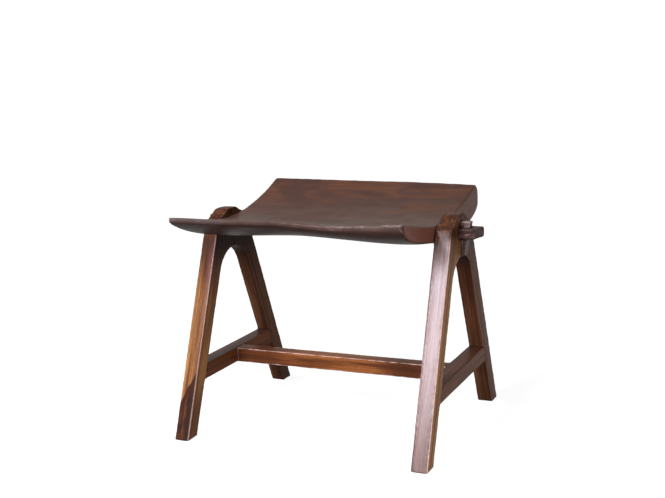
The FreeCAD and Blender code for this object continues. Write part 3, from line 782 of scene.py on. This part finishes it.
def leg_wood(node, order):
    """The wood of one leg: dark at its head and under a painted shadow of the seat, more golden down its
    length.
    """
    look = LEG_FINISH[node]
    shift = (0.7 * order, 0.3 * order, 0.9 * order)
    wood = Wood(node, shift=shift, rubbed=look["rubbed"])
    colours = wood.colours
    low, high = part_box(node)
    from_left = wood.ramp(wood.x, low.x, high.x)
    base = wood.streaked(colours.leg_deep, colours.leg_middle, look["depth"])
    base = wood.gilded(base, colours.leg_gold, golden_share(wood, node, from_left))
    if node == "front_left_leg":
        gilt = wood.times(wood.ramp(from_left, 0.3, 0.1), wood.up_leg(0.826, 0.717), 0.45)
        base = wood.gilded(base, colours.leg_gold, gilt)
        # A painted rosy highlight near the inner arris, then the dark heartwood.
        base = heartwood(wood, add_rosy_highlight(wood, base))
    # Painted shadow of the seat: the upper leg darkened towards its head.
    head = wood.up_leg(0.739, 0.891, 0, 0.9 - 0.8 * look["head"])
    base = wood.mix(head, base, colours.leg_deep)
    # Painted sheen on the front right leg's front face.
    if node == "front_right_leg":
        base = add_painted_sheen(wood, base)
    # Painted shadow of the seat: the side faces darkened towards the top of the leg.
    shade = wood.times(wood.sideways(), wood.up_leg(0.717, 0.848), look["shade"])
    base = wood.mix(shade, base, colours.grime_and_shade)
    base = mottled_head(wood, base)
    base = arris_lines(wood, base, from_left, look["rubbed"])
    # Wear on the arrises, more to the right and less towards the head: partly real wear, partly painted
    # highlight on the right arris.
    bare = wood.times(from_left, wood.up_leg(0.826, 0.913, 0.5, 0.1))
    shine = wood.up_leg(0.87, 0.935, 1, 0.25)
    return wood.finish(base, colours.leg_deep, coat_roughness=0.32, bare=bare, shine=shine)


def golden_share(wood, node, from_left):
    """Where and how strongly the light fibres of a leg show."""
    look = LEG_FINISH[node]
    bands = wood.ramp(wood.noise(LEG_BANDS, detail=4, distortion=0.3), 0.3, 0.62)
    # The light fibres fade towards the top of the leg, partly as painted shadow of the seat.
    below_head = wood.beyond(wood.z, look["light_top"], -100, 0, 1, look["head"])
    share = wood.times(wood.ramp(bands, 0, 1, 0.3, 1), below_head, look["gold"])
    # More light fibres on the side faces, and on the front left leg lower down: partly the wood's colour,
    # partly painted light.
    if node == "front_left_leg":
        inner = wood.ramp(from_left, 0.1, 0.8, 1.1, 0.6)
        return wood.times(share, inner, wood.sideways(0.3, 0.7, 1, 2.2), wood.up_leg(0.26, 0.54, 1.55, 1))
    if node == "front_right_leg":
        return wood.times(share, wood.sideways(0.3, 0.7, 0.12, 1.4))
    return share


def add_painted_sheen(wood, base):
    """A painted sheen: pale colour on the leg's front face, below its head, standing in for the lamp's
    reflection in the lacquer.
    """
    face = wood.times(wood.sideways(0.6, 0.3), wood.up_leg(0.935, 0.87))
    streaks = wood.ramp(wood.grain["Lines"], 0, 1, 0.35, 0.6)
    haze = wood.times(face, streaks, wood.up_leg(0, 0.478, 0.4, 1.15))
    return wood.mix(haze, base, wood.colours.leg_painted_sheen)


def mottled_head(wood, base):
    """Thick dark stain in patches on the leg's head, with the wood glowing between them."""
    ragged = wood.times(wood.noise(HEAD_EDGE, detail=3), 30 * MILLIMETRE)
    on_head = wood.beyond(wood.plus(wood.z, ragged), LEG_TOP, -50, -15)
    patches = wood.ramp(wood.noise(HEAD_PATCHES, detail=5, distortion=0.3), 0.3, 0.62)
    base = wood.mix(wood.times(on_head, 0.22), base, wood.colours.leg_gold)
    stained = wood.times(on_head, wood.ramp(patches, 0, 1, 0.3, 1))
    return wood.mix(stained, base, wood.colours.leg_deep)


def arris_lines(wood, base, from_left, rubbed):
    """A painted highlight in a thin pale line down the arris on the right, and the arris on the left
    darker.
    """
    arris = wood.mark("arris")
    # Darker along the arris on the left, from low on the leg upwards.
    on_left = wood.times(wood.ramp(arris, 0.3, 0.8), wood.ramp(from_left, 0.5, 0.2, 0, 0.8))
    stained = wood.times(on_left, wood.up_leg(0.26, 0.74))
    base = wood.mix(stained, base, wood.colours.leg_deep)
    # Painted highlight: a thin pale line down the arris on the right, in the worn colour, fading out near
    # the head.
    line = wood.times(wood.ramp(arris, 0.6, 0.85), wood.ramp(from_left, 0.5, 0.9))
    line = wood.times(line, wood.up_leg(0.87, 0.924, 1, 0), min(1, 2.2 * rubbed))
    return wood.mix(line, base, wood.colours.worn)


def add_rosy_highlight(wood, base):
    """A painted highlight: a rosy band along the inner side of the leg's outer face."""
    ragged = wood.times(wood.noise(MAUVE_EDGE, detail=3), 20 * MILLIMETRE)
    inner = wood.beyond(wood.plus(wood.x, ragged), LEFT_SHOULDER, -5, 3)
    face = wood.sideways(0.6, 0.3, 0.25, 0.55)
    band = wood.times(inner, face, wood.up_leg(0.326, 0.826, 0.15, 1))
    return wood.mix(band, base, wood.colours.leg_rose_highlight)


def heartwood(wood, base):
    """A dark flame of heartwood on the outer face, rising from the foot to the inner arris."""
    colours = wood.colours
    slope = 2.2
    tip = 154.6 * MILLIMETRE - slope * LEFT_SHOULDER
    ragged = wood.times(wood.noise(HEARTWOOD_EDGE, detail=4), 30 * MILLIMETRE)
    edge = wood.plus(wood.plus(wood.z, wood.times(wood.x, -slope)), ragged)
    edge = wood.plus(edge, wood.sideways(to_high=300 * MILLIMETRE))
    inside = wood.beyond(edge, tip, 4, -4)
    foot = wood.times(wood.sideways(), wood.up_leg(0.283, 0.109), 0.75)
    base = wood.mix(foot, base, colours.leg_middle)
    dark = wood.streaked(colours.leg_deep, colours.leg_middle, 0.5)
    towards_arris = wood.beyond(wood.x, LEFT_SHOULDER, -23, -3, 0, 0.12)
    blots = wood.plus(wood.noise(HEARTWOOD_BLOTS, detail=4), towards_arris)
    dark = wood.mix(wood.ramp(blots, 0.45, 0.6, 0, 0.75), dark, colours.grime_and_shade)
    base = wood.mix(wood.times(inside, 0.97), base, dark)
    rim = wood.times(inside, wood.beyond(edge, tip, -36, -7), 0.9)
    return wood.mix(rim, base, colours.leg_deep)


def rail_wood(node, order):
    """The wood of one rail, with its fibres along the rail."""
    shift = (0.5 * order, 1.1 * order, 0.4 * order)
    wood = Wood(node, shift=shift, rubbed=0.4)
    colours = wood.colours
    base = wood.streaked(colours.rail_deep, colours.rail_middle, 0.2)
    bands = wood.ramp(wood.noise(RAIL_BANDS, detail=3, distortion=0.3), 0.35, 0.62)
    if node == LONG_RAIL:
        return long_rail_wood(wood, base, bands)
    upward = wood.ramp(wood.mark("upward"), 0.5, 0.9, 0, 0.9)
    base = wood.mix(upward, base, colours.key_deep)
    base = wood.gilded(base, colours.rail_gold, wood.times(bands, 0.3))
    shine = 0.5 if node == "right_cross_rail" else 1
    return wood.finish(base, colours.rail_deep, shine=shine)


def long_rail_wood(wood, base, bands):
    """The long rail: orange in its middle, dark to the right, with a pale line at its left end."""
    colours = wood.colours
    bands = wood.times(bands, wood.beyond(wood.from_middle(), MIDDLE, 70, 170, 1.4, 0))
    bands = wood.times(bands, wood.beyond(wood.x, MIDDLE, 60, 140, 1, 0.3))
    on_right = wood.beyond(wood.x, MIDDLE, 50, 200, 0, 0.35)
    base = wood.mix(on_right, base, colours.rail_deep)
    base = wood.gilded(base, colours.rail_gold, bands)
    left_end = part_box("left_cross_rail")[1].x
    pale_line = wood.beyond(wood.x, left_end, 1.5, 3, 0.55, 0)
    base = wood.mix(pale_line, base, colours.worn)
    return wood.finish(base, colours.rail_deep, dirt=0.1)


def key_wood(node, order):
    """The dark, rough wood of a key."""
    shift = (0.2 * order, 0.6 * order, 0.1 * order)
    wood = Wood(node, shift=shift, rubbed=0.4)
    colours = wood.colours
    base = wood.streaked(colours.key_deep, colours.key_middle, 0.5)
    base = wood.mix(pale_streaks(wood), base, colours.worn)
    return wood.finish(base, colours.key_deep, roughness=0.55, gloss=0.15, bare=0.3)


def dowel_wood():
    """The bare wood of the dowels, which are hidden in the joints."""
    wood = Wood("dowel", rubbed=0.3)
    colours = wood.colours
    base = wood.streaked(colours.key_middle, colours.dowel_end, 0.3)
    return wood.finish(base, colours.key_middle, roughness=0.6)


def seen_directly(tree):
    """1 where the camera, or a mirrored or bent ray, looks at the backdrop, and 0 for its light."""
    path = tree.nodes.new("ShaderNodeLightPath")
    seen = sum_up(tree, "MAXIMUM", path.outputs["Is Camera Ray"], path.outputs["Is Glossy Ray"])
    return sum_up(tree, "MAXIMUM", seen, path.outputs["Is Transmission Ray"])


def mixed_backdrop(tree, lighting, visible, output_kind):
    """Joins what lights the scene and what is seen of the backdrop, and sends it out."""
    mix = add_node(tree, "ShaderNodeMixShader")
    feed(tree, mix.inputs[0], seen_directly(tree))
    tree.links.new(lighting.outputs[0], mix.inputs[1])
    tree.links.new(visible.outputs[0], mix.inputs[2])
    output = tree.nodes.new(output_kind)
    tree.links.new(mix.outputs[0], output.inputs[0])


def floor_material():
    """A plain pale floor that the camera sees as white, with the stool's shadow on it."""
    stage = bpy.context.scene.stool_stage
    material = bpy.data.materials.new("floor")
    material.use_nodes = True
    tree = material.node_tree
    tree.nodes.clear()
    plain = add_node(tree, "ShaderNodeBsdfDiffuse")
    plain.inputs["Color"].default_value = (*stage.floor_colour, 1)
    coordinates = tree.nodes.new("ShaderNodeTexCoord")
    distance = add_node(tree, "ShaderNodeVectorMath", operation="LENGTH")
    tree.links.new(coordinates.outputs["Object"], distance.inputs[0])
    shadow_end = (0.5, 1.6)
    near = ramp(tree, distance.outputs["Value"], *shadow_end, 0.25, 0)
    grey = add_node(tree, "ShaderNodeCombineColor")
    for socket in grey.inputs[:3]:
        feed(tree, socket, near)
    shadowed = add_node(tree, "ShaderNodeBsdfDiffuse")
    feed(tree, shadowed.inputs["Color"], grey.outputs[0])
    glow = add_node(tree, "ShaderNodeEmission")
    dimmed = sum_up(tree, "SUBTRACT", 1.04, sum_up(tree, "MULTIPLY", near, 0.6))
    feed(tree, glow.inputs["Strength"], dimmed)
    white = add_node(tree, "ShaderNodeAddShader")
    tree.links.new(shadowed.outputs[0], white.inputs[0])
    tree.links.new(glow.outputs[0], white.inputs[1])
    mixed_backdrop(tree, plain, white, "ShaderNodeOutputMaterial")
    return material


# The stage

def add_softbox(name, direction, distance, size, power, tint):
    """A square soft lamp that stands in this direction from the stool and shines at it."""
    aim = Vector((0, 0, 0.25))
    direction = Vector(direction).normalized()
    bpy.ops.object.light_add(type="AREA", location=aim + direction * distance)
    lamp = bpy.context.active_object
    lamp.name = name
    lamp.rotation_euler = direction.to_track_quat("Z", "Y").to_euler()
    lamp.data.shape = "RECTANGLE"
    lamp.data.size, lamp.data.size_y = size
    lamp.data.energy = power
    lamp.data.color = tint
    lamp.visible_camera = False


def light_the_stool():
    """A broad key lamp, a narrow window that the legs mirror, a fill lamp and a cool side lamp."""
    stage = bpy.context.scene.stool_stage
    white = (1, 1, 1)
    lilac = (0.92, 0.89, 1)
    blue = (0.75, 0.85, 1)
    add_softbox("key lamp", (-0.30, -0.55, 0.80), 3.0, (2.0, 1.6), stage.key_power, white)
    add_softbox("window lamp", (-0.18, -0.870, 0.52), 2.67, (0.55, 1.15), stage.window_power, lilac)
    add_softbox("fill lamp", (0.66, -0.66, 0.35), 2.6, (0.3, 0.8), stage.fill_power, white)
    add_softbox("side lamp", (-0.95, -0.2, 0.3), 2.5, (0.8, 0.9), stage.side_power, blue)


def set_sky():
    """An even pale sky that the camera and the gloss see as white."""
    world = bpy.data.worlds.new("sky")
    bpy.context.scene.world = world
    world.use_nodes = True
    tree = world.node_tree
    tree.nodes.clear()
    light = add_node(tree, "ShaderNodeBackground")
    light.inputs["Strength"].default_value = bpy.context.scene.stool_stage.sky_level
    white = add_node(tree, "ShaderNodeBackground")
    white.inputs["Strength"].default_value = 1
    for background in (light, white):
        background.inputs["Color"].default_value = (1, 1, 1, 1)
    mixed_backdrop(tree, light, white, "ShaderNodeOutputWorld")


def place_camera():
    """The camera, at the photograph's viewing angle."""
    stage = bpy.context.scene.stool_stage
    bpy.ops.object.camera_add()
    camera = bpy.context.active_object
    camera.name = "camera"
    turn = Matrix.Rotation(stage.camera_turn, 4, "Z")
    tilt = Matrix.Rotation(math.radians(90) - stage.camera_tilt, 4, "X")
    roll = Matrix.Rotation(stage.camera_roll, 4, "Z")
    camera.matrix_world = Matrix.Translation(Vector(stage.camera_place)) @ turn @ tilt @ roll
    camera.data.sensor_width = 36
    camera.data.sensor_fit = "HORIZONTAL"
    camera.data.lens = stage.camera_lens
    bpy.context.scene.camera = camera


# Operators, one for each group of like pieces and one for the stage

class STOOL_OT_seat(Operator):
    """Makes the dished seat with its worn lip"""

    bl_idname = "stool.seat"
    bl_label = "Make the seat"

    def execute(self, context):
        cell = context.scene.stool_shapes.seat_cell
        hollows = 30 * MILLIMETRE
        make_worn_piece("seat", "stool", seat_wood(), SEAT_POLISH, cell, hollows, 0.08)
        return {"FINISHED"}


class STOOL_OT_legs(Operator):
    """Makes the four legs of the two end frames"""

    bl_idname = "stool.legs"
    bl_label = "Make the legs"

    def execute(self, context):
        cell = context.scene.stool_shapes.frame_cell
        hollows = 12 * MILLIMETRE
        for order, node in enumerate(LEGS):
            look = LEG_FINISH[node]
            polish = {**LEG_POLISH, "front": look["front"], "inside": look["inside"]}
            wood = leg_wood(node, order)
            make_worn_piece(node, "stool", wood, polish, cell, hollows, 0.12)
        return {"FINISHED"}


class STOOL_OT_rails(Operator):
    """Makes the two cross rails and the long rail"""

    bl_idname = "stool.rails"
    bl_label = "Make the rails"

    def execute(self, context):
        cell = context.scene.stool_shapes.frame_cell
        hollows = 12 * MILLIMETRE
        for order, node in enumerate((*CROSS_RAILS, LONG_RAIL)):
            wood = rail_wood(node, order)
            make_worn_piece(node, "stool", wood, RAIL_POLISH, cell, hollows, 0.1)
        return {"FINISHED"}


class STOOL_OT_keys(Operator):
    """Makes the tapered keys that lock the seat's tenons"""

    bl_idname = "stool.keys"
    bl_label = "Make the keys"

    def execute(self, context):
        cell = context.scene.stool_shapes.key_cell
        hollows = 8 * MILLIMETRE
        for order, (node, body) in enumerate(KEYS.items()):
            wood = key_wood(node, order)
            make_worn_piece(node, body, wood, KEY_POLISH, cell, hollows, 0.2)
        return {"FINISHED"}


class STOOL_OT_dowels(Operator):
    """Paints the hidden dowels of the apex joints"""

    bl_idname = "stool.dowels"
    bl_label = "Finish the dowels"

    def execute(self, context):
        wood = dowel_wood()
        for node in DOWELS:
            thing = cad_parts[node]
            if not thing.material_slots:
                raise RuntimeError(node + " has no material slot")
            for material_slot in thing.material_slots:
                material_slot.material = wood
        return {"FINISHED"}


class STOOL_OT_stage(Operator):
    """Sets the floor, the sky, the lamps and the camera"""

    bl_idname = "stool.stage"
    bl_label = "Set the stage"

    def execute(self, context):
        bpy.ops.mesh.primitive_plane_add(size=16, location=(0, 0, 0))
        floor = context.active_object
        floor.name = "floor"
        floor.data.materials.append(floor_material())
        set_sky()
        light_the_stool()
        place_camera()
        context.scene.view_settings.view_transform = "Standard"
        return {"FINISHED"}


class STOOL_PT_sidebar(Panel):
    """The stool's sizes, colours and steps in the 3D view's sidebar"""

    bl_idname = "STOOL_PT_sidebar"
    bl_label = "Trestle stool"
    bl_space_type = "VIEW_3D"
    bl_region_type = "UI"
    bl_category = "Stool"

    def draw(self, context):
        scene = context.scene
        for group in (scene.stool_shapes, scene.stool_colours, scene.stool_stage):
            box = self.layout.box()
            for name in group.bl_rna.properties.keys():
                if name not in ("rna_type", "name"):
                    box.prop(group, name)
        for step in STEPS:
            self.layout.operator(step.bl_idname)


STEPS = (
    STOOL_OT_seat, STOOL_OT_legs, STOOL_OT_rails, STOOL_OT_keys, STOOL_OT_dowels, STOOL_OT_stage
)
GROUPS = {"stool_shapes": StoolShapes, "stool_colours": StoolColours, "stool_stage": StoolStage}


def register():
    """Makes the classes known and gives the scene its settings."""
    for group in (*GROUPS.values(), *STEPS, STOOL_PT_sidebar):
        bpy.utils.register_class(group)
    for name, group in GROUPS.items():
        setattr(bpy.types.Scene, name, PointerProperty(type=group))


def unregister():
    """Takes the settings and the classes away again."""
    for name in GROUPS:
        delattr(bpy.types.Scene, name)
    for group in reversed((*GROUPS.values(), *STEPS, STOOL_PT_sidebar)):
        bpy.utils.unregister_class(group)


def main():
    """Makes every piece in order."""
    register()
    bpy.ops.stool.seat()
    bpy.ops.stool.legs()
    bpy.ops.stool.rails()
    bpy.ops.stool.keys()
    bpy.ops.stool.dowels()
    bpy.ops.stool.stage()


if __name__ == "__main__":
    main()
